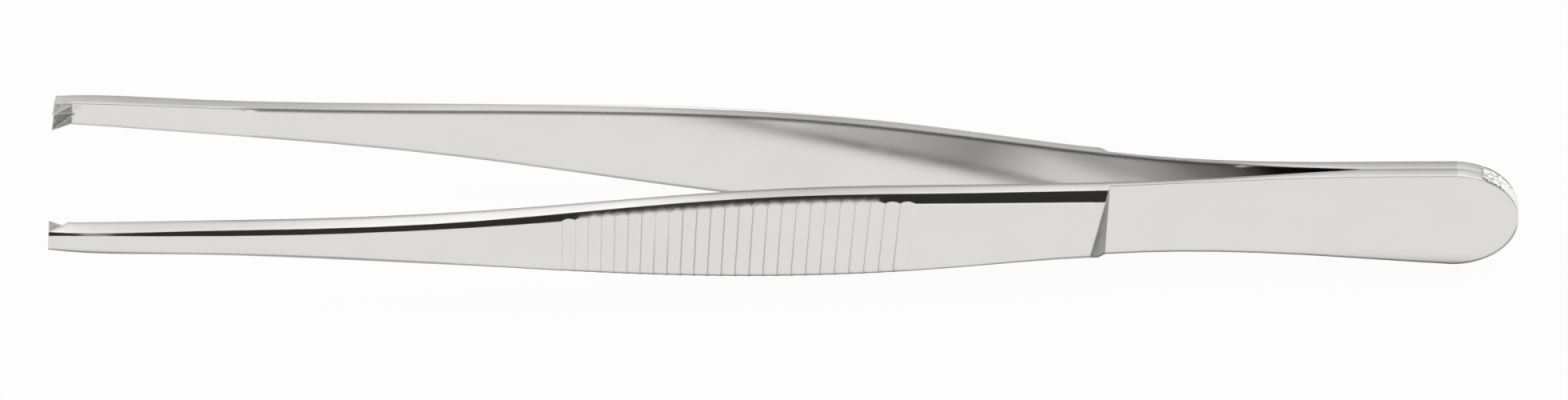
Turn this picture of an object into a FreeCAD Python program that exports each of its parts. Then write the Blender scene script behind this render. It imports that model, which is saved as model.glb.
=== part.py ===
import FreeCAD, Part
import Sketcher
import math
import os
import re

# Tissue forceps of the standard thumb pattern: two forged steel arms that lie face to face at the butt,
# stand apart towards the jaws, and are welded round the butt's end. One arm carries a single tooth, the
# other a pair of teeth that it closes between.
#
# Frame: +X from the jaws to the butt, Y the way the arms open, +Z up. The forceps lies on its side edges,
# the floor is Z = 0, and the middle plane between the arms is Y = 0. Both arms are modelled on the +Y side
# with X counted from the jaw tips, the one with the single tooth is turned half round about the long axis,
# and at the end everything moves back by half the length. Sizes are in millimetres, angles in degrees.

SIZES = (
    ("overall_length", 145.0, "jaw tips to end of the butt"),
    ("contact_length", 15.6, "butt length over which the arms lie face to face"),
    ("butt_width", 11.15, "widest place of the butt"),
    ("butt_thickness", 1.2, "one arm at the butt"),
    ("round_length", 6.35, "length of the elliptical end of the butt"),
    ("meet_width", 10.35, "width where the arms meet"),
    ("seat_slope", 0.065, "slope of the inner face where it reaches the middle plane"),
    ("spring_thickness", 0.6, "spring leaf at the foot of the step"),
    ("step_run_narrow", 0.39, "length of the step's slope at one edge of the outer face"),
    ("step_run_wide", 1.44, "length of the step's slope at the other edge"),
    ("wall_draft", 5.0, "draft angle of the side walls"),
    ("flute_first", 50.4, "jaw tips to the first ridge of the grip"),
    ("flute_pitch", 1.27, "width of the first flute"),
    ("flute_growth", 0.009, "how much each flute is wider than the one before"),
    ("flute_count", 25, "flutes across the grip"),
    ("flute_depth", 0.16, "depth of a flute below its ridges"),
    ("flute_lean_first", -1.8, "angle between the first ridge and the arm's width"),
    ("flute_lean_last", 2.4, "angle between the last ridge and the arm's width"),
    ("pair_length", 1.95, "length of the ramp behind the paired teeth"),
    ("pair_height", 1.5, "height of the paired teeth over the inner face"),
    ("pair_spread", 1.96, "distance between the tips of the paired teeth"),
    ("notch_depth", 0.25, "depth of the notch between them, below the inner face"),
    ("single_length", 2.2, "length of the ramp behind the single tooth"),
    ("single_height", 1.75, "height of the single tooth over the inner face"),
    ("single_root", 0.95, "half width of the single tooth at its root"),
    ("relief_length", 1.95, "length of the cuts beside the single tooth"),
    ("relief_depth", 1.3, "depth of those cuts at the end of the jaw"),
    ("jaw_slant", 0.35, "set-back of the paired jaw's outer corner"),
    ("weld_width", 1.7, "width of the weld across the seam"),
    ("weld_depth", 0.45, "depth of the weld into the end of the butt"),
    ("weld_proud", 0.06, "height of the weld over the end of the butt"),
    ("weld_from", 6.0, "angle from the long axis at which the weld begins"),
    ("weld_to", 64.0, "angle at which the weld ends"),
)

# Cross-sections of the gripping part of an arm: distance from the jaw tips, distance of the inner face
# from the middle plane, width of the inner face, thickness, height of the side wall under the bevel, and
# inset of the outer face
STATION_COLUMNS = ("from_tip", "gap", "width", "thick", "wall", "bevel")
STATIONS = (
    ("tip", 0.0, 9.23, 2.48, 1.65, 1.38, 0.41),
    ("jaw", 12.0, 8.89, 3.12, 1.82, 1.50, 0.49),
    ("neck", 26.0, 8.37, 3.98, 1.84, 1.48, 0.60),
    ("shank", 42.0, 7.71, 5.96, 1.89, 1.42, 0.57),
    ("flare", 58.0, 6.59, 8.58, 2.02, 1.14, 0.55),
    ("grip", 74.0, 5.22, 10.18, 2.02, 1.13, 0.62),
    ("shoulder", 90.0, 3.71, 9.64, 2.01, 1.18, 0.78),
    ("heel", 104.3, 2.12, 8.74, 2.01, 1.18, 0.96),
)

# Cross-sections of the spring leaf: place along it as a share of its length, from the step to where the
# arms meet, distance of the inner face from the middle plane, and width
LEAF_COLUMNS = ("share", "gap", "width")
LEAF_STATIONS = (
    ("waist", 0.307, 1.36, 8.74),
    ("spring", 0.645, 0.64, 9.42),
)

# Room past a surface, so that no cut ends on it
CLEAR = 1.5
# How far the ridges of the grip lie under the face that they are cut from
RIDGE_DROP = 0.02
# How much wider each side of an arm is forged than the round end that is cut from it
SPARE = 0.3
# How far a tooth's root is let into its arm
ROOT = 0.2

document = FreeCAD.newDocument("thumb_forceps")
sheet = document.addObject("Spreadsheet::Sheet", "Sizes")
aliases = set()


def write_sheet():
    entries = list(SIZES)
    for columns, table in ((STATION_COLUMNS, STATIONS), (LEAF_COLUMNS, LEAF_STATIONS)):
        for name, *values in table:
            for column, value in zip(columns, values):
                entries.append((f"{name}_{column}", value, f"{name} section, {column}"))
    for row, (alias, value, note) in enumerate(entries, start=1):
        sheet.set(f"A{row}", note)
        sheet.set(f"B{row}", str(value))
        sheet.setAlias(f"B{row}", alias)
        aliases.add(alias)
    document.recompute()


def size(alias):
    return float(sheet.get(alias))


def bound(formula):
    # Writes the sheet's name before each of its aliases, as an expression needs it
    return re.sub("[a-z_]+", lambda word: ("Sizes." if word.group() in aliases else "") + word.group(), formula)


def set_size(feature, prop, formula):
    feature.setExpression(prop, bound(formula))


def new_sketch(body, name, role, offset):
    # A sketch on one of the body's own planes, moved along the plane's normal
    plane = next(item for item in body.Origin.OriginFeatures if item.Role == role)
    sketch = body.newObject("Sketcher::SketchObject", name)
    sketch.AttachmentSupport = (plane, [""])
    sketch.MapMode = "FlatFace"
    set_size(sketch, "AttachmentOffset.Base.z", offset)
    return sketch


def place_corner(sketch, edge, across, up):
    # Ties the start of an edge to its place in the sketch
    for kind, formula in (("DistanceX", across), ("DistanceY", up)):
        index = sketch.addConstraint(Sketcher.Constraint(kind, -1, 1, edge, 1, 1.0))
        label = f"{kind}_{edge}"
        sketch.renameConstraint(index, label)
        set_size(sketch, f"Constraints.{label}", formula)


def polygon_sketch(body, name, role, offset, *outlines):
    # Closed outlines of straight edges, each corner a pair of formulas
    sketch = new_sketch(body, name, role, offset)
    for corners in outlines:
        first = sketch.GeometryCount
        count = len(corners)
        start = [FreeCAD.Vector(math.cos(i), math.sin(i), 0) for i in range(count)]
        for i in range(count):
            sketch.addGeometry(Part.LineSegment(start[i], start[(i + 1) % count]), False)
        for i, (across, up) in enumerate(corners):
            sketch.addConstraint(Sketcher.Constraint("Coincident", first + i, 2, first + (i + 1) % count, 1))
            place_corner(sketch, first + i, across, up)
    return sketch


def new_loft(body, kind, name, sketches, ruled=False):
    loft = body.newObject(kind, name)
    loft.Profile = sketches[0]
    loft.Sections = sketches[1:]
    loft.Ruled = ruled
    return loft


def new_pocket(body, name, sketch, depth):
    # A pocket that runs from its sketch along the plane's normal
    pocket = body.newObject("PartDesign::Pocket", name)
    pocket.Profile = sketch
    pocket.Reversed = True
    set_size(pocket, "Length", depth)
    return pocket


MIDDLE = "butt_width / 2"
MEET = "(overall_length - contact_length)"
WIDEST = "(overall_length - round_length)"
ACROSS = f"butt_width + {2 * CLEAR}"


def section_sketch(body, name, from_tip, gap, width, thick, wall, bevel, draft="wall_draft"):
    # Inner face, two drafted side walls, two bevels and the outer face
    wall_half = f"({width} / 2 - ({wall}) * tan({draft} * 1 deg))"
    corners = []
    for reach, half in (("0", f"({width}) / 2"), (wall, wall_half), (thick, f"(({width}) / 2 - ({bevel}))")):
        corners.append((f"{gap} + {reach}", half))
    lower = [(across, f"{MIDDLE} - {half}") for across, half in corners]
    upper = [(across, f"{MIDDLE} + {half}") for across, half in reversed(corners)]
    return polygon_sketch(body, name, "YZ_Plane", from_tip, lower + upper)


def make_blade(body):
    # The whole arm as forged, still as thick behind the step as before it
    sketches = []
    for name, *values in STATIONS:
        columns = [f"{name}_{column}" for column in STATION_COLUMNS]
        sketches.append(section_sketch(body, f"{name}_section", *columns))
    blank = []
    for name, *values in LEAF_STATIONS:
        place = f"heel_from_tip + {name}_share * ({MEET} - heel_from_tip)"
        blank.append((name, place, f"{name}_gap", f"{name}_width"))
    blank.append(("meet", MEET, "0", "meet_width"))
    blank.append(("butt", WIDEST, "-seat_slope * (contact_length - round_length)", "butt_width"))
    past = f"(contact_length + {CLEAR})"
    blank.append(("end", f"overall_length + {CLEAR}", f"-seat_slope * {past}", f"(butt_width + 2 * {SPARE})"))
    for step, (name, from_tip, gap, width) in enumerate(blank, start=1):
        wall = f"(heel_wall + butt_thickness * {step} / 3)"
        thick = f"({wall} + heel_thick - heel_wall)"
        shape = (from_tip, gap, width, thick, wall, "heel_bevel", "0")
        sketches.append(section_sketch(body, f"{name}_section", *shape))
    return new_loft(body, "PartDesign::AdditiveLoft", "blade", sketches)


def cut_seat(body):
    # The flat faces on which the arms meet
    left, right = f"{MEET} - 10 * {CLEAR}", f"overall_length + 2 * {CLEAR}"
    low = "-contact_length"
    corners = [(left, low), (right, low), (right, "0"), (left, "0")]
    sketch = polygon_sketch(body, "seat_outline", "XY_Plane", f"-{CLEAR}", corners)
    return new_pocket(body, "seat", sketch, ACROSS)


def relief_sketch(body, name, height, run):
    # Outline of what is ground off behind the step: flat over the butt, then a long arc to the step's foot
    meet, foot = size("overall_length") - size("contact_length"), size("heel_from_tip")
    flat = size("butt_thickness")
    rise = size("heel_gap") + size("spring_thickness") - flat
    radius = ((meet - foot) ** 2 + rise ** 2) / (2 * rise)
    centre = FreeCAD.Vector(meet, flat + radius, 0)
    turn = math.atan2(meet - foot, radius - rise)
    arc = Part.ArcOfCircle(Part.Circle(centre, FreeCAD.Vector(0, 0, 1), radius), -math.pi / 2 - turn, -math.pi / 2)
    foot_up = "heel_gap + spring_thickness"
    top_up = f"{foot_up} + (heel_thick - spring_thickness) * 2"
    corners = [
        (MEET, "butt_thickness"),
        (f"overall_length + 2 * {CLEAR}", "butt_thickness"),
        (f"overall_length + 2 * {CLEAR}", top_up),
        (f"heel_from_tip - {run} * 2", top_up),
        ("heel_from_tip", foot_up),
    ]
    sketch = new_sketch(body, name, "XY_Plane", height)
    rough = [FreeCAD.Vector(meet, flat, 0), FreeCAD.Vector(meet + 20, flat, 0), FreeCAD.Vector(meet + 20, 6, 0)]
    rough += [FreeCAD.Vector(foot - 1, 6, 0), FreeCAD.Vector(foot, flat + rise, 0)]
    for start, end in zip(rough, rough[1:]):
        sketch.addGeometry(Part.LineSegment(start, end), False)
    sketch.addGeometry(arc, False)
    last = len(rough) - 1
    for edge in range(last - 1):
        sketch.addConstraint(Sketcher.Constraint("Coincident", edge, 2, edge + 1, 1))
    sketch.addConstraint(Sketcher.Constraint("Coincident", last - 1, 2, last, 1))
    sketch.addConstraint(Sketcher.Constraint("Tangent", last, 2, 0, 1))
    for edge, (across, up) in enumerate(corners):
        place_corner(sketch, edge, across, up)
    return sketch


def cut_relief(body):
    # Thins the arm to its spring leaf, with a step whose slope is longer at one edge than at the other
    change = "(step_run_wide - step_run_narrow) / (heel_width - 2 * heel_bevel)"
    beyond = f"(({MIDDLE}) - heel_width / 2 + heel_bevel + {CLEAR}) * {change}"
    lower = relief_sketch(body, "relief_low", f"-{CLEAR}", f"(step_run_narrow - {beyond})")
    upper = relief_sketch(body, "relief_high", f"butt_width + {CLEAR}", f"(step_run_wide + {beyond})")
    return new_loft(body, "PartDesign::SubtractiveLoft", "relief", [lower, upper], ruled=True)


def ramp_pad(body, name, length, height):
    # A ramp on the inner face that rises to the end of the jaw, as wide as the jaw
    buried = f"tip_gap + {height} * {ROOT} / {length}"
    corners = [
        ("0", f"tip_gap - {height}"),
        (f"{length} + {ROOT}", buried),
        ("0", buried),
    ]
    sketch = polygon_sketch(body, f"{name}_outline", "XY_Plane", f"({MIDDLE}) - tip_width / 2", corners)
    pad = body.newObject("PartDesign::Pad", name)
    pad.Profile = sketch
    set_size(pad, "Length", "tip_width")
    return pad


def make_tooth_pair(body):
    # Two teeth: a ramp with its outer corners taken off and a notch down its middle
    ramp_pad(body, "pair_ramp", "pair_length", "pair_height")
    crest = "tip_gap - pair_height"
    below = f"{crest} - {CLEAR}"
    outlines = [[(below, f"{MIDDLE} - pair_spread / 2"), (crest, f"{MIDDLE} - pair_spread / 2"),
                 ("tip_gap + notch_depth", MIDDLE),
                 (crest, f"{MIDDLE} + pair_spread / 2"), (below, f"{MIDDLE} + pair_spread / 2")]]
    for side in ("-", "+"):
        outlines.append([
            (crest, f"{MIDDLE} {side} pair_spread / 2"),
            ("tip_gap", f"{MIDDLE} {side} tip_width / 2"),
            ("tip_gap", f"{MIDDLE} {side} tip_width"),
            (crest, f"{MIDDLE} {side} tip_width"),
        ])
    for name, outline in zip(("notch", "lower_flank", "upper_flank"), outlines):
        sketch = polygon_sketch(body, f"{name}_outline", "YZ_Plane", f"-{CLEAR}", outline)
        new_pocket(body, name, sketch, f"pair_length + {CLEAR} + {ROOT}")
    corners = [
        (f"-{CLEAR}", crest),
        ("0", crest),
        ("jaw_slant", f"tip_gap + tip_thick + {ROOT}"),
        (f"-{CLEAR}", f"tip_gap + tip_thick + {ROOT}"),
    ]
    sketch = polygon_sketch(body, "jaw_end_outline", "XY_Plane", f"-{CLEAR}", corners)
    return new_pocket(body, "jaw_end", sketch, ACROSS)


def make_single_tooth(body):
    # One tooth: a ramp whose flanks run down past the inner face, beside cuts that take the paired teeth
    ramp_pad(body, "single_ramp", "single_length", "single_height")
    crest = "tip_gap - single_height"
    slope = "single_root / (single_height + relief_depth)"
    cut = None
    for name, side in (("lower", "-"), ("upper", "+")):
        far = f"{MIDDLE} {side} tip_width"
        start = [
            (crest, MIDDLE),
            ("tip_gap + relief_depth", f"{MIDDLE} {side} single_root"),
            ("tip_gap + relief_depth", far),
            (crest, far),
        ]
        end = [
            (crest, MIDDLE),
            ("tip_gap", f"{MIDDLE} {side} single_height * {slope}"),
            ("tip_gap", far),
            (crest, far),
        ]
        sketches = [
            polygon_sketch(body, f"{name}_relief_front", "YZ_Plane", "0", start),
            polygon_sketch(body, f"{name}_relief_back", "YZ_Plane", "relief_length", end),
        ]
        cut = new_loft(body, "PartDesign::SubtractiveLoft", f"{name}_relief", sketches, ruled=True)
    return cut


def computed_shape(feature):
    # The feature's shape, worked out afresh if a first pass left it empty
    document.recompute()
    if feature.Shape.isNull():
        document.recompute(None, True)
    return feature.Shape


def outer_face(shape, from_tip):
    # Distance of the arm's outer face from the middle plane
    return max(wire.BoundBox.YMax for wire in shape.slice(FreeCAD.Vector(1, 0, 0), from_tip))


def flute_outline(arm_shape, up):
    # The grip's row of hollows at a height over the arm's lower edge, closed by a line clear of the arm
    count = int(size("flute_count"))
    lean_growth = (size("flute_lean_last") - size("flute_lean_first")) / count
    from_tip = size("flute_first")
    ridges = []
    for index in range(count + 1):
        lean = math.tan(math.radians(size("flute_lean_first") + lean_growth * index))
        place = from_tip + lean * (size("butt_width") / 2 - up)
        ridges.append(FreeCAD.Vector(place, outer_face(arm_shape, place) - RIDGE_DROP, up))
        from_tip += size("flute_pitch") + size("flute_growth") * index
    sink = FreeCAD.Vector(0, -size("flute_depth"), 0)
    edges = []
    for start, end in zip(ridges, ridges[1:]):
        edges.append(Part.Arc(start, (start + end) / 2 + sink, end).toShape())
    over = FreeCAD.Vector(0, CLEAR, 0)
    corners = [ridges[-1], ridges[-1] + over, ridges[0] + over, ridges[0]]
    edges += [Part.makeLine(start, end) for start, end in zip(corners, corners[1:])]
    return Part.Wire(edges)


def flute_cutter(name, arm_shape):
    # A comb of shallow hollows that follows the outer face, and fans out a little across the arm
    outlines = [flute_outline(arm_shape, up) for up in (-CLEAR, size("butt_width") + CLEAR)]
    cutter = document.addObject("Part::Feature", name)
    cutter.Shape = Part.makeLoft(outlines, True, True)
    return cutter


def ellipse_solid(long_half, short_half, thickness):
    # An upright elliptical disc about the centre of the butt's round end
    disc = Part.Face(Part.Wire(Part.makeCircle(1, FreeCAD.Vector(0, 0, 0), FreeCAD.Vector(0, -1, 0))))
    scale = FreeCAD.Matrix()
    scale.scale(long_half, 1, short_half)
    disc = disc.transformGeometry(scale)
    centre = FreeCAD.Vector(size("overall_length") - size("round_length"), thickness / 2, size("butt_width") / 2)
    disc.translate(centre)
    return disc.extrude(FreeCAD.Vector(0, -thickness, 0))


def make_end_outline():
    # All that lies before the round end, and the round end itself
    long_half, short_half = size("round_length"), size("butt_width") / 2
    thickness = 4 * size("tip_gap")
    corner = FreeCAD.Vector(-CLEAR, -thickness / 2, -CLEAR)
    straight = size("overall_length") - size("round_length") + CLEAR
    bar = Part.makeBox(straight, thickness, size("butt_width") + 2 * CLEAR, corner)
    outline = document.addObject("Part::Feature", "end_outline")
    outline.Shape = bar.fuse(ellipse_solid(long_half, short_half, thickness)).removeSplitter()
    return outline


def add_weld(name):
    # A bead let into the end of the butt along the seam
    long_half, short_half = size("round_length"), size("butt_width") / 2
    proud, depth, width = size("weld_proud"), size("weld_depth"), size("weld_width")
    ring = ellipse_solid(long_half + proud, short_half + proud, width)
    ring = ring.cut(ellipse_solid(long_half - depth, short_half - depth, 2 * width))
    centre = FreeCAD.Vector(size("overall_length") - long_half, -width, short_half)
    reach = 2 * (long_half + short_half)
    corners = [centre]
    for angle in (size("weld_from"), (size("weld_from") + size("weld_to")) / 2, size("weld_to")):
        turn = math.radians(angle)
        corners.append(centre + FreeCAD.Vector(reach * math.cos(turn), 0, reach * math.sin(turn)))
    sector = Part.Face(Part.makePolygon(corners + [centre])).extrude(FreeCAD.Vector(0, 2 * width, 0))
    weld = document.addObject("Part::Feature", name)
    weld.Shape = ring.common(sector)
    return weld


def boolean(kind, name, base, tool):
    result = document.addObject(kind, name)
    result.Base = base
    result.Tool = tool
    return result


def make_arm(name, add_teeth, turned, outline):
    body = document.addObject("PartDesign::Body", f"{name}_body")
    make_blade(body)
    cut_seat(body)
    cut_relief(body)
    body.Tip = add_teeth(body)
    flutes = flute_cutter(f"{name}_flutes", computed_shape(body))
    fluted = boolean("Part::Cut", f"{name}_fluted", body, flutes)
    if turned:
        # Half a turn about the forceps' long axis
        turn = FreeCAD.Rotation(FreeCAD.Vector(1, 0, 0), 180)
        fluted.Placement = FreeCAD.Placement(FreeCAD.Vector(0, 0, size("butt_width")), turn)
    return boolean("Part::Common", name, fluted, outline)


def check(parts):
    for item in document.Objects:
        if "Invalid" in item.State or "Error" in item.State:
            raise ValueError(f"{item.Name}: {item.State}")
    for part in parts:
        if part.Shape.isNull() or not part.Shape.isValid() or not part.Shape.Solids:
            raise ValueError(f"{part.Label} has no valid solid")


write_sheet()
welded_outline = boolean("Part::Cut", "welded_outline", make_end_outline(), add_weld("weld_seat"))
parts = [
    make_arm("single_tooth_arm", make_single_tooth, True, welded_outline),
    make_arm("twin_tooth_arm", make_tooth_pair, False, welded_outline),
    add_weld("end_weld"),
]
for part in parts:
    set_size(part, "Placement.Base.x", "-overall_length / 2")
document.recompute()
check(parts)
os.makedirs("parts", exist_ok=True)
for part in parts:
    part.Shape.exportStep(f"parts/{part.Label}.step")
    print(part.Label, len(part.Shape.Solids), round(part.Shape.Volume, 2), part.Shape.BoundBox)
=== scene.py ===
import math

import bpy
from mathutils import Matrix, Vector, noise


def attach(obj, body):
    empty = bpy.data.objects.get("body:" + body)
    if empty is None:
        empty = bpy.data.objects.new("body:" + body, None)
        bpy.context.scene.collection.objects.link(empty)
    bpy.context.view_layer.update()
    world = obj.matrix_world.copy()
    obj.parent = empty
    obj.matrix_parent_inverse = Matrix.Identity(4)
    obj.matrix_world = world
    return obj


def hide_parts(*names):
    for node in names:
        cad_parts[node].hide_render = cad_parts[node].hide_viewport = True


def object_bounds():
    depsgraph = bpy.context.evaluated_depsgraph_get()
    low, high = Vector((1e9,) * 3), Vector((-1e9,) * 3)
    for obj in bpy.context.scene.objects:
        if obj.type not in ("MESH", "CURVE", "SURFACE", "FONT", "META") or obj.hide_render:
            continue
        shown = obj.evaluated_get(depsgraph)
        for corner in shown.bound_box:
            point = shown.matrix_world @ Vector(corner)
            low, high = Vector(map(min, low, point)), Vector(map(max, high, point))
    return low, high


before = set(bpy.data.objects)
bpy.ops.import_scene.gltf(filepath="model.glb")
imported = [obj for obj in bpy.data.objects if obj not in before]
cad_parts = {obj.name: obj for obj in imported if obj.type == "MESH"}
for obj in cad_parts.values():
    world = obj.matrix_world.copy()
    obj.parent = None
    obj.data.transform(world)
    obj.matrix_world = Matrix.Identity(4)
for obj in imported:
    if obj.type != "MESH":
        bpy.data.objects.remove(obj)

CAD_BOX = [list(corner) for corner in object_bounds()]

# The photograph's frame, and where the middle of the forceps lies in it
IMAGE_WIDTH = 1962
IMAGE_HEIGHT = 500
MIDDLE_COLUMN = 982.5
MIDDLE_ROW = 242.0
PIXELS_PER_METRE = 12676.5

# The camera's place, seen from the object
CAMERA_DISTANCE = 1.8
CAMERA_AZIMUTH = math.radians(2.8)
CAMERA_ELEVATION = math.radians(39.22)
CAMERA_ROLL = math.radians(3.41)
SENSOR_WIDTH = 36.0

WHITE = (1.0, 1.0, 1.0, 1.0)

# How many rays look for an edge, and for what shades the floor
EDGE_SAMPLES = 5
SHADE_SAMPLES = 4


class Nodes:
    # A short way to build a node tree: add a node, set its values, link its inputs

    def __init__(self, tree):
        self.tree = tree
        tree.nodes.clear()

    def put(self, socket, value):
        # Link another node's output, or set a plain value
        if isinstance(value, bpy.types.NodeSocket):
            self.tree.links.new(value, socket)
        else:
            socket.default_value = value

    def add(self, kind, inputs=None, **settings):
        node = self.tree.nodes.new(kind)
        for name, value in settings.items():
            setattr(node, name, value)
        for name, value in (inputs or {}).items():
            self.put(node.inputs[name], value)
        return node

    def math(self, operation, *values):
        return self.add("ShaderNodeMath", dict(enumerate(values)), operation=operation).outputs[0]

    def product(self, first, *others):
        for value in others:
            first = self.math("MULTIPLY", first, value)
        return first

    def part(self, vector, axis):
        return self.add("ShaderNodeSeparateXYZ", {"Vector": vector}).outputs[axis]

    def size(self, vector, axis):
        return self.math("ABSOLUTE", self.part(vector, axis))

    def vector(self, operation, first, second):
        return self.add("ShaderNodeVectorMath", {0: first, 1: second}, operation=operation).outputs[0]

    def stretched(self, vector, factor):
        return self.add("ShaderNodeVectorMath", {0: vector, "Scale": factor}, operation="SCALE").outputs[0]

    def distance(self, first, second):
        node = self.add("ShaderNodeVectorMath", {0: first, 1: second}, operation="DISTANCE")
        return node.outputs["Value"]

    def smooth(self, value, low, high, start=0.0, end=1.0, linear=False):
        # A change from start to end while the value goes from low to high
        settings = {"Value": value, "From Min": low, "From Max": high, "To Min": start, "To Max": end}
        kind = "LINEAR" if linear else "SMOOTHSTEP"
        return self.add("ShaderNodeMapRange", settings, interpolation_type=kind).outputs[0]

    def window(self, value, rise, fall):
        # 1 between the rise and the fall, each of them a span of the value
        return self.product(self.smooth(value, *rise), self.smooth(value, *fall, 1.0, 0.0))

    def profile(self, value, stops):
        # Grey levels that change in straight lines between stops of (place, level)
        first = stops[0][0]
        last = stops[-1][0]
        node = self.add("ShaderNodeValToRGB", {"Fac": self.smooth(value, first, last, linear=True)})
        elements = node.color_ramp.elements
        while len(elements) < len(stops):
            elements.new(0.5)
        for element, (place, level) in zip(elements, stops):
            element.position = (place - first) / (last - first)
            element.color = (level, level, level, 1.0)
        return node.outputs["Color"]

    def noise(self, place, scale, detail=2.0, roughness=0.5, output="Fac"):
        vector = self.add("ShaderNodeMapping", {"Vector": place, "Scale": scale}).outputs[0]
        settings = {"Vector": vector, "Scale": 1.0, "Detail": detail, "Roughness": roughness}
        return self.add("ShaderNodeTexNoise", settings).outputs[output]

    def mix(self, factor, first, second, blend_type="MIX"):
        # Between two colours, which the Mix node has at its inputs 6 and 7
        node = self.add("ShaderNodeMix", data_type="RGBA", blend_type=blend_type)
        for index, value in ((0, factor), (6, first), (7, second)):
            self.put(node.inputs[index], value)
        return node.outputs[2]

    def blend_normals(self, factor, first, second):
        # Between two normals, which the Mix node has at its inputs 4 and 5
        node = self.add("ShaderNodeMix", data_type="VECTOR")
        for index, value in ((0, factor), (4, first), (5, second)):
            self.put(node.inputs[index], value)
        return self.add("ShaderNodeVectorMath", {0: node.outputs[1]}, operation="NORMALIZE").outputs[0]

    def rounded(self, radius):
        # The normal as it is when the edges have this radius
        return self.add("ShaderNodeBevel", {"Radius": radius}, samples=EDGE_SAMPLES).outputs[0]


def new_material(name):
    material = bpy.data.materials.new(name)
    material.use_nodes = True
    return material, Nodes(material.node_tree)


# World light over the arc from the front horizon, over the top, to the back horizon, as (degrees, level)
ARC_LIGHT = ((0, 1.25), (8, 1.25), (17, 0.04), (90, 0.03), (104, 0.9), (112, 1.25), (122, 1.2), (132, 0.95),
             (150, 0.72), (162, 0.55), (180, 0.5))
# How the light behind differs from left to right, as (sideways part of the direction, share of the level)
SIDE_LIGHT = ((-0.20, 1.15), (-0.08, 1.25), (-0.062, 1.6), (-0.048, 1.05), (-0.02, 0.9), (0.035, 0.75),
              (0.10, 1.0), (0.20, 1.0))
# Spans where a direction comes to count as behind, by its Y, and as sideways, by its X, and the level there
BEHIND = (0.3, 0.5)
SIDEWAYS = (0.55, 0.75)
SIDE_LEVEL = (1.1, 1.1, 1.1, 1.0)


def make_world():
    # A light tent: white all round, less bright behind, with a dark opening over the front for the camera
    world = bpy.data.worlds.new("studio")
    bpy.context.scene.world = world
    world.use_nodes = True
    build = Nodes(world.node_tree)
    direction = build.add("ShaderNodeTexCoord").outputs["Generated"]
    parts = build.add("ShaderNodeSeparateXYZ", {"Vector": direction}).outputs
    turn = build.math("ARCTAN2", parts["Z"], build.math("MULTIPLY", parts["Y"], -1.0))
    arc = build.profile(turn, [(math.radians(angle), level) for angle, level in ARC_LIGHT])
    shares = build.mix(build.smooth(parts["Y"], *BEHIND), WHITE, build.profile(parts["X"], SIDE_LIGHT))
    arc = build.mix(1.0, arc, shares, blend_type="MULTIPLY")
    sides = build.smooth(build.math("ABSOLUTE", parts["X"]), *SIDEWAYS)
    level = build.mix(sides, arc, SIDE_LEVEL)
    # The camera itself sees plain white
    camera_ray = build.add("ShaderNodeLightPath").outputs["Is Camera Ray"]
    shown = build.mix(camera_ray, level, WHITE)
    back = build.add("ShaderNodeBackground", {"Color": shown, "Strength": 1.0})
    build.add("ShaderNodeOutputWorld", {"Surface": back.outputs[0]})


def place_camera():
    level = math.cos(CAMERA_ELEVATION)
    across = Vector((math.cos(CAMERA_AZIMUTH), -math.sin(CAMERA_AZIMUTH), 0.0))
    ahead = Vector((
        math.sin(CAMERA_AZIMUTH) * level,
        math.cos(CAMERA_AZIMUTH) * level,
        -math.sin(CAMERA_ELEVATION),
    ))
    over = across.cross(ahead)
    right = math.cos(CAMERA_ROLL) * across + math.sin(CAMERA_ROLL) * over
    up = right.cross(ahead)
    low, high = (Vector(corner) for corner in CAD_BOX)
    target = (low + high) / 2
    target -= right * (MIDDLE_COLUMN - IMAGE_WIDTH / 2) / PIXELS_PER_METRE
    target -= up * (IMAGE_HEIGHT / 2 - MIDDLE_ROW) / PIXELS_PER_METRE
    data = bpy.data.cameras.new("camera")
    data.sensor_fit = "HORIZONTAL"
    data.sensor_width = SENSOR_WIDTH
    data.lens = SENSOR_WIDTH * PIXELS_PER_METRE * CAMERA_DISTANCE / IMAGE_WIDTH
    data.clip_start = 0.01
    data.clip_end = 10.0
    camera = bpy.data.objects.new("camera", data)
    turn = Matrix((right, up, -ahead)).transposed()
    camera.matrix_world = Matrix.Translation(target - ahead * CAMERA_DISTANCE) @ turn.to_4x4()
    bpy.context.scene.collection.objects.link(camera)
    bpy.context.scene.camera = camera


# The floor's size, how far it lies under the forceps, and its colour
FLOOR_SIZE = 6.0
FLOOR_GAP = 0.00002
FLOOR_COLOUR = (0.92, 0.92, 0.92, 1.0)
# The share of white glow in what the camera sees of it. The rest is plain floor, which takes the shadow
FLOOR_GLOW = 0.96
# The floor's shade in the steel: how near a thing casts it, how open the floor is from full shade to none,
# and what the full shade leaves of the light
SHADE_REACH = 0.002
SHADE_OPEN = (0.4, 0.8)
SHADE_LEVEL = 0.1
# What each mirroring after the first leaves of the light, and the count that tells a second one from a first
PASS_SHARE = 0.8
MORE_THAN_ONE = 1.5
# How far from the forceps the floor grows brighter in the steel, as under the lamps, and by how much
LAMP_REACH = (0.022, 0.045)
LAMP_GAIN = 0.25
# How bright the floor between the arms is after two mirrorings, as (place along the arms, level)
BETWEEN_LIGHT = ((-0.010, 1.7), (-0.002, 1.5), (0.002, 1.1), (0.007, 1.0), (0.011, 0.85), (0.0165, 0.64),
                 (0.020, 0.95), (0.024, 1.4), (0.030, 1.5), (0.037, 1.15), (0.045, 1.4))


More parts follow.
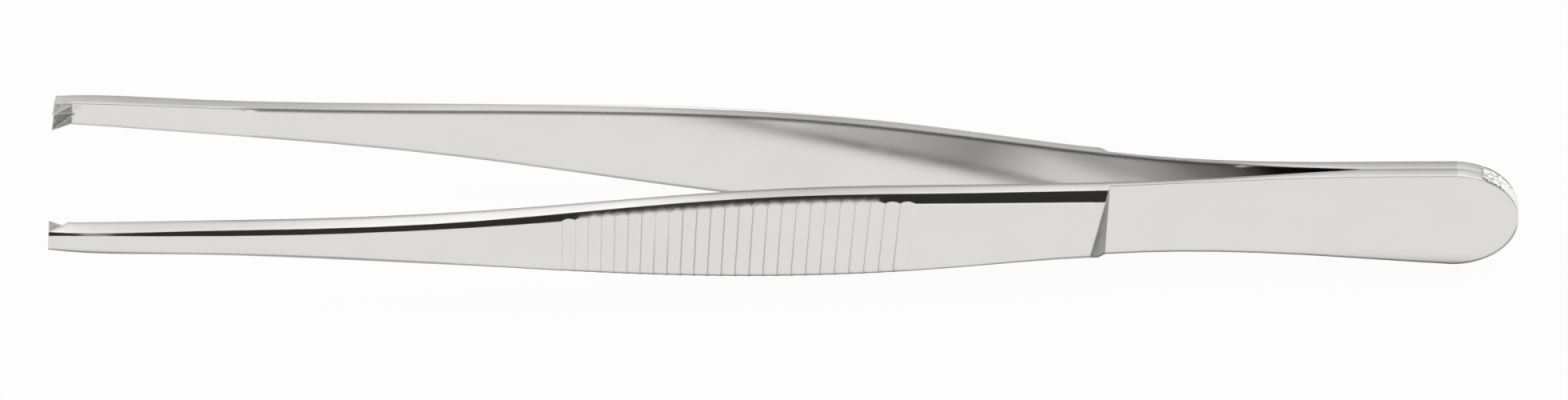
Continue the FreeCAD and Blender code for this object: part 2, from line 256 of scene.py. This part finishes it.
def make_floor():
    # White to the camera and in the steel, with the shade of what lies close above it
    bpy.ops.mesh.primitive_plane_add(size=FLOOR_SIZE, location=(0.0, 0.0, CAD_BOX[0][2] - FLOOR_GAP))
    floor = bpy.context.object
    floor.name = "floor"
    material, build = new_material("floor")
    place = build.add("ShaderNodeTexCoord").outputs["Object"]
    path = build.add("ShaderNodeLightPath").outputs
    mirrored = path["Is Glossy Ray"]
    near = build.add("ShaderNodeAmbientOcclusion", {"Distance": SHADE_REACH}, samples=SHADE_SAMPLES)
    dark = build.smooth(near.outputs["AO"], *SHADE_OPEN, SHADE_LEVEL, 1.0, linear=True)
    shade = build.mix(mirrored, WHITE, dark)
    # The light that the two arms pass to and fro differs along them, and grows weaker each time
    between = build.profile(build.part(place, "X"), BETWEEN_LIGHT)
    twice = build.math("GREATER_THAN", path["Glossy Depth"], MORE_THAN_ONE)
    shade = build.mix(1.0, shade, build.mix(twice, WHITE, between), blend_type="MULTIPLY")
    again = build.math("MAXIMUM", build.math("SUBTRACT", path["Glossy Depth"], 1.0), 0.0)
    passed = build.math("POWER", PASS_SHARE, again)
    lamps = build.product(build.smooth(build.size(place, "Y"), *LAMP_REACH), mirrored)
    strength = build.product(passed, build.math("MULTIPLY_ADD", lamps, LAMP_GAIN, 1.0))
    glow = build.add("ShaderNodeEmission", {"Color": shade, "Strength": strength})
    diffuse = build.add("ShaderNodeBsdfDiffuse", {"Color": FLOOR_COLOUR})
    share = build.math("MAXIMUM", build.product(path["Is Camera Ray"], FLOOR_GLOW), mirrored)
    mix = build.add("ShaderNodeMixShader", {"Fac": share, 1: diffuse.outputs[0], 2: glow.outputs[0]})
    build.add("ShaderNodeOutputMaterial", {"Surface": mix.outputs[0]})
    floor.data.materials.append(material)


# Colours of the steel: polished; ground at the teeth, also painted shade on the step and ridges; painted
# sheen and highlights, also bright marks; painted shade along the lower edges
POLISHED = (0.72, 0.712, 0.70, 1.0)
GROUND_AND_SHADE_COLOUR = (0.36, 0.36, 0.35, 1.0)
HIGHLIGHT_AND_MARK_COLOUR = (0.95, 0.95, 0.94, 1.0)
PAINTED_EDGE_SHADE = (0.13, 0.13, 0.13, 1.0)

# Roughness of the steel, and what the slow change of gloss, the ground places and the teeth add to it
ROUGHNESS = 0.08
GLOSS_ROUGHNESS = 0.10
GROUND_ROUGHNESS = 0.20
TEETH_ROUGHNESS = 0.18

# Grains, as waves a metre along X, Y and Z: the belt's marks, its hairlines, the change of gloss, the uneven
# cuts of the teeth and the weld's skin. The first and the last have finer detail in them
BELT_GRAIN = (14000.0, 6000.0, 260.0)
HAIR_GRAIN = (9000.0, 500.0, 300.0)
GLOSS_GRAIN = (220.0, 300.0, 300.0)
TEETH_GRAIN = (2600.0, 2600.0, 2600.0)
WELD_GRAIN = (5000.0, 5000.0, 5000.0)
FINE_DETAIL = {"detail": 3.0, "roughness": 0.6}

# Radii of the worn edges: all round, at the outer face, at the inner face, between the cuts of the teeth, and
# the soft one under the bevel of the grip
FINE_EDGE = 0.00012
OUTER_EDGE = 0.00042
INNER_EDGE = 0.00065
TOOTH_EDGE = 0.0002
SOFT_EDGE = 0.0009

# Places along the arms: the roots of the teeth, the grip, the step behind it and the butt
TEETH_ROOT = -0.0705
GRIP_START = -0.024
GRIP_END = 0.0135
STEP_START = 0.0305
BUTT_START = 0.033

# Spans along the arms where a look comes in or goes out
TEETH_OUT = (TEETH_ROOT - 0.0001, TEETH_ROOT + 0.0001)
RIDGES_IN = (GRIP_START, GRIP_START + 0.016)
HAIR_IN = (GRIP_START - 0.003, GRIP_START + 0.008)
HAIR_OUT = (GRIP_END - 0.008, GRIP_END)
BORDER_IN = (GRIP_END - 0.004, GRIP_END + 0.002)
BORDER_OUT = (STEP_START - 0.0005, STEP_START)
INNER_EDGE_IN = (-0.058, -0.048)
INNER_EDGE_OUT = (0.040, 0.050)
BUTT_SHEEN_IN = (BUTT_START, BUTT_START + 0.01)

# Spans of a normal's part where a surface comes to count as facing along the arm, in, out or up. A look with
# a DOWN span is on what faces further down, and goes out over the span
STEP_ALONG = (0.50, 0.62)
RIDGE_ALONG = (0.35, 0.43)
TEETH_INWARD = (0.11, 0.14)
INNER_EDGE_INWARD = (0.08, 0.25)
LOWER_EDGE_OUTWARD = (0.15, 0.35)
LOWER_EDGE_DOWN = (-0.20, -0.05)
BORDER_OUTWARD = (0.05, 0.15)
BORDER_UPWARD = (0.0, 0.05)
UNDERSIDE_DOWN = (-0.13, -0.02)
UNDERSIDE_OUTWARD = (-0.3, 0.3)
BEVEL_IN = (0.25, 0.35)
BEVEL_OUT = (0.85, 0.95)
SHEEN_UPWARD = (0.90, 0.95)
CROWN_UPWARD = (0.88, 0.94)
CROWN_WORN_UPWARD = (0.86, 0.96)
BELT_UPWARD = (0.3, 0.6)

# Spans of how far a rounded edge turns the normal, where the edge begins to show
GLINT_TURN = (0.10, 0.30)
BORDER_TURN = (0.12, 0.26)
INNER_EDGE_TURN = (0.16, 0.30)
# How far a normal turns to halfway between two faces at a right angle, and the least turn scaled up to it
HALFWAY = 0.765
LEAST_TURN = 0.05

# How strong the painted shade lines on the ridges are, and what is left of them at the jaws' end of the grip
RIDGE_STRENGTH = 0.95
RIDGE_FADE = 0.15
# How strong the painted shade along the lower edges is, at the inner and at the outer face
UNDERSIDE_LEVELS = (0.35, 0.9)
# How far the teeth's cuts take the ground colour and roughness, how much of a mirror they are, and how uneven
TEETH_DULL = 0.5
TEETH_METAL = 0.45
TEETH_UNEVEN = 1.6
# How far the narrow sides are crowned, from flat at 0 to the soft edge's roundness at 1
CROWN = 0.3

# The belt's hairlines: their slant, how far they break up the soft edge, how far down that edge turns where
# they show, and how far up the surface under them faces
HAIR_SLANT = math.radians(-48)
HAIR_REACH = 0.45
HAIR_FALL = (0.03, 0.26)
HAIR_RISE = 0.15
# The belt's marks: their strength on the faces and on the narrow sides, and their depth
BELT_STRENGTHS = (0.22, 0.05)
BELT_DEPTH = 0.00002

# Bright specks: how many cells they have a metre, the size of a dot in its cell, and the share of cells
# without one
SPECK_CELLS = 160.0
SPECK_SIZE = (0.012, 0.035)
SPECK_CHOICE = 0.78

# How much painted sheen brightens the near arm's narrow side over the butt
NEAR_BUTT_SHEEN = 0.55


class Arm:
    # What the steel of one arm reads: the place on the arm, and which way its surface faces there

    def __init__(self, build, inner_side):
        # inner_side is the sign of Y on the side of the arm's inner face
        geometry = build.add("ShaderNodeNewGeometry").outputs
        self.build = build
        self.inner_side = inner_side
        self.place = build.add("ShaderNodeTexCoord").outputs["Object"]
        self.along = build.part(self.place, "X")
        self.flat = geometry["True Normal"]
        self.smooth = geometry["Normal"]
        self.outer = build.rounded(OUTER_EDGE)

    def inward(self, normal):
        return self.build.product(self.build.part(normal, "Y"), self.inner_side)

    def outward(self, normal):
        return self.build.product(self.build.part(normal, "Y"), -self.inner_side)


def teeth_mask(build, arm):
    # What the teeth are cut into, on the inner side of the jaw's end
    end = build.smooth(arm.along, *TEETH_OUT, 1.0, 0.0)
    return build.product(end, build.smooth(arm.inward(arm.flat), *TEETH_INWARD))


def step_shade_mask(build, arm):
    # Painted shade on the slope behind the grip, which faces along the arm
    return build.smooth(build.size(arm.flat, "X"), *STEP_ALONG)


def ridge_shade_mask(build, arm):
    # Painted shade in lines on the ridges of the grip, fainter towards the jaws
    line = build.smooth(build.size(arm.smooth, "X"), *RIDGE_ALONG, 0.0, RIDGE_STRENGTH)
    return build.product(line, build.smooth(arm.along, *RIDGES_IN, RIDGE_FADE, 1.0))


def speck_mask(build, arm):
    # A few tiny bright marks
    cells = build.add("ShaderNodeTexVoronoi", {"Vector": arm.place, "Scale": SPECK_CELLS}).outputs
    dot = build.smooth(cells["Distance"], *SPECK_SIZE, 1.0, 0.0)
    return build.product(dot, build.math("GREATER_THAN", build.part(cells["Color"], "X"), SPECK_CHOICE))


def glint_mask(build, arm, teeth):
    # Painted glint: the edges between the cuts of the teeth are bright
    turn = build.distance(build.rounded(TOOTH_EDGE), arm.flat)
    return build.product(teeth, build.smooth(turn, *GLINT_TURN))


def border_highlight_mask(build, arm):
    # Painted highlight: a bright line on both sides of the bevel behind the grip
    turn = build.smooth(build.distance(arm.outer, arm.flat), *BORDER_TURN)
    outward = build.smooth(arm.outward(arm.outer), *BORDER_OUTWARD)
    upward = build.smooth(build.part(arm.outer, "Z"), *BORDER_UPWARD)
    return build.product(turn, outward, upward, build.window(arm.along, BORDER_IN, BORDER_OUT))


def painted_underside_shade(build, arm):
    # Painted shade: a dark line along the lower edges, where they would mirror the floor's shadow
    low = build.smooth(build.part(arm.outer, "Z"), *UNDERSIDE_DOWN, 1.0, 0.0)
    return build.product(low, build.smooth(arm.outward(arm.outer), *UNDERSIDE_OUTWARD, *UNDERSIDE_LEVELS))


def with_inner_edges(build, arm, normal):
    # A narrow flat along the inner face: past a first turn it faces halfway between the two faces
    wide = build.rounded(INNER_EDGE)
    turn = build.vector("SUBTRACT", wide, arm.smooth)
    amount = build.distance(wide, arm.smooth)
    gain = build.math("DIVIDE", HALFWAY, build.math("MAXIMUM", amount, LEAST_TURN))
    gain = build.product(gain, build.smooth(amount, *INNER_EDGE_TURN))
    chamfer = build.vector("ADD", arm.smooth, build.stretched(turn, gain))
    inward = build.smooth(arm.inward(wide), *INNER_EDGE_INWARD)
    share = build.product(inward, build.window(arm.along, INNER_EDGE_IN, INNER_EDGE_OUT))
    return build.blend_normals(share, normal, chamfer)


def with_lower_edges(build, arm, normal):
    # The lower edges of the outer face are wider than the fine ones
    outward = build.smooth(arm.outward(arm.outer), *LOWER_EDGE_OUTWARD)
    low = build.smooth(build.part(arm.outer, "Z"), *LOWER_EDGE_DOWN, 1.0, 0.0)
    return build.blend_normals(build.product(outward, low), normal, arm.outer)


def with_hairlines(build, arm, normal, soft):
    # Hairlines of the belt run slantwise through the soft edge under the bevel of the grip
    fall = build.math("SUBTRACT", build.part(arm.smooth, "Z"), build.part(soft, "Z"))
    slanted = build.add("ShaderNodeVectorRotate", {"Vector": arm.place, "Angle": HAIR_SLANT},
                        rotation_type="Y_AXIS").outputs[0]
    hair = build.math("SUBTRACT", build.noise(slanted, HAIR_GRAIN), 0.5)
    below = build.smooth(build.math("ADD", fall, build.product(hair, HAIR_REACH)), *HAIR_FALL)
    grip = build.window(arm.along, HAIR_IN, HAIR_OUT)
    bevel = build.window(arm.outward(arm.smooth), BEVEL_IN, BEVEL_OUT)
    outside = build.add("ShaderNodeCombineXYZ", {"Y": -arm.inner_side, "Z": HAIR_RISE}).outputs[0]
    return build.blend_normals(build.product(below, grip, bevel), normal, outside)


def with_crown(build, arm, normal, soft):
    # The narrow sides are a little crowned
    crown = build.smooth(build.part(arm.smooth, "Z"), *CROWN_UPWARD, 0.0, CROWN)
    crown = build.product(crown, build.smooth(build.part(normal, "Z"), *CROWN_WORN_UPWARD))
    return build.blend_normals(crown, normal, soft)


def worn_normal(build, arm):
    # The edges as polishing leaves them
    soft = build.rounded(SOFT_EDGE)
    normal = with_inner_edges(build, arm, build.rounded(FINE_EDGE))
    normal = with_lower_edges(build, arm, normal)
    normal = with_hairlines(build, arm, normal, soft)
    return with_crown(build, arm, normal, soft)


def cut_normal(build, arm):
    # The cuts of the teeth are uneven
    waves = build.noise(arm.place, TEETH_GRAIN, output="Color")
    lean = build.vector("SUBTRACT", waves, (0.5, 0.5, 0.5))
    return build.vector("ADD", arm.flat, build.stretched(lean, TEETH_UNEVEN))


def steel_colour(build, arm, teeth, dull_and_shade, butt_sheen):
    # Painted sheen over the butt, darker at the ground teeth and with painted shade on the step, the ridges
    # and the lower edges, with painted highlight lines and a few bright marks
    # Painted sheen on the near arm's narrow side over the butt
    narrow = build.smooth(build.part(arm.flat, "Z"), *SHEEN_UPWARD, 0.0, butt_sheen)
    painted_sheen = build.product(narrow, build.smooth(arm.along, *BUTT_SHEEN_IN))
    colour = build.mix(dull_and_shade, build.mix(painted_sheen, POLISHED, HIGHLIGHT_AND_MARK_COLOUR), GROUND_AND_SHADE_COLOUR)
    # Painted shade along the lower edges, left off the teeth
    dark = build.product(painted_underside_shade(build, arm), build.math("SUBTRACT", 1.0, teeth))
    colour = build.mix(dark, colour, PAINTED_EDGE_SHADE)
    lines = build.math("MAXIMUM", glint_mask(build, arm, teeth), border_highlight_mask(build, arm))
    return build.mix(build.math("MAXIMUM", lines, speck_mask(build, arm)), colour, HIGHLIGHT_AND_MARK_COLOUR)


def steel_roughness(build, arm, teeth, dull_and_shade):
    gloss = build.noise(arm.place, GLOSS_GRAIN)
    roughness = build.math("MULTIPLY_ADD", gloss, GLOSS_ROUGHNESS, ROUGHNESS)
    roughness = build.math("MULTIPLY_ADD", dull_and_shade, GROUND_ROUGHNESS, roughness)
    return build.math("MULTIPLY_ADD", teeth, TEETH_ROUGHNESS, roughness)


def make_steel(name, inner_side, butt_sheen):
    material, build = new_material(name)
    arm = Arm(build, inner_side)
    teeth = teeth_mask(build, arm)
    # The teeth's ground cuts, and painted shade on the step and the ridges, take the ground colour and more
    # roughness
    dull_and_shade = build.math("MAXIMUM", step_shade_mask(build, arm), ridge_shade_mask(build, arm))
    dull_and_shade = build.math("MAXIMUM", dull_and_shade, build.product(teeth, TEETH_DULL))
    # Fine marks of the grinding belt across the arm
    bump = build.add("ShaderNodeBump", {
        "Strength": build.smooth(build.size(arm.flat, "Z"), *BELT_UPWARD, *BELT_STRENGTHS),
        "Distance": BELT_DEPTH,
        "Height": build.noise(arm.place, BELT_GRAIN, **FINE_DETAIL),
        "Normal": build.blend_normals(teeth, worn_normal(build, arm), cut_normal(build, arm)),
    })
    shader = build.add("ShaderNodeBsdfPrincipled", {
        "Base Color": steel_colour(build, arm, teeth, dull_and_shade, butt_sheen),
        "Metallic": build.smooth(teeth, 0.0, 1.0, 1.0, TEETH_METAL, linear=True),
        "Roughness": steel_roughness(build, arm, teeth, dull_and_shade),
        "Normal": bump.outputs[0],
    })
    build.add("ShaderNodeOutputMaterial", {"Surface": shader.outputs[0]})
    return material


def dress_arms():
    finish = {
        "single_tooth_arm": make_steel("near_arm_steel", 1.0, NEAR_BUTT_SHEEN),
        "twin_tooth_arm": make_steel("far_arm_steel", -1.0, 0.0),
    }
    for name, material in finish.items():
        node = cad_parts[name]
        node.data.materials.clear()
        node.data.materials.append(material)


# The weld's metal: its colour, its roughness, and the strength and depth of its grain
WELD_COLOUR = (0.85, 0.85, 0.84, 1.0)
WELD_ROUGHNESS = 0.18
WELD_STRENGTH = 0.5
WELD_DEPTH = 0.00005
# The weld's form: its mesh size, the size of its large and its small lumps, how far the large ones rise, and
# what share of that the small ones do
WELD_MESH = 0.00009
WELD_LUMP = 0.00045
WELD_SMALL_LUMP = WELD_LUMP / 2.5
WELD_RISE = 0.00013
WELD_SMALL_SHARE = 0.4


def make_weld_metal():
    # Bright metal, melted and not ground off
    material, build = new_material("weld_metal")
    place = build.add("ShaderNodeTexCoord").outputs["Object"]
    grain = build.noise(place, WELD_GRAIN, **FINE_DETAIL)
    bump = build.add("ShaderNodeBump", {"Strength": WELD_STRENGTH, "Distance": WELD_DEPTH, "Height": grain})
    shader = build.add("ShaderNodeBsdfPrincipled", {
        "Base Color": WELD_COLOUR,
        "Metallic": 1.0,
        "Roughness": WELD_ROUGHNESS,
        "Normal": bump.outputs[0],
    })
    build.add("ShaderNodeOutputMaterial", {"Surface": shader.outputs[0]})
    return material


def make_weld():
    # The weld's own form, with the lumps that it set in
    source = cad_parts["end_weld"]
    weld = bpy.data.objects.new("lumpy_weld", source.data.copy())
    bpy.context.scene.collection.objects.link(weld)
    remesh = weld.modifiers.new("remesh", "REMESH")
    remesh.mode = "VOXEL"
    remesh.voxel_size = WELD_MESH
    depsgraph = bpy.context.evaluated_depsgraph_get()
    mesh = bpy.data.meshes.new_from_object(weld.evaluated_get(depsgraph))
    weld.modifiers.clear()
    weld.data = mesh
    moved = []
    for vertex in mesh.vertices:
        height = noise.noise(vertex.co / WELD_LUMP)
        height += WELD_SMALL_SHARE * noise.noise(vertex.co / WELD_SMALL_LUMP)
        moved.append(vertex.co + vertex.normal * height * WELD_RISE)
    for vertex, place in zip(mesh.vertices, moved):
        vertex.co = place
    for face in mesh.polygons:
        face.use_smooth = True
    mesh.materials.clear()
    mesh.materials.append(make_weld_metal())
    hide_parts("end_weld")
    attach(weld, "root")


make_world()
place_camera()
make_floor()
make_weld()
dress_arms()
bpy.context.scene.view_settings.view_transform = "Standard"
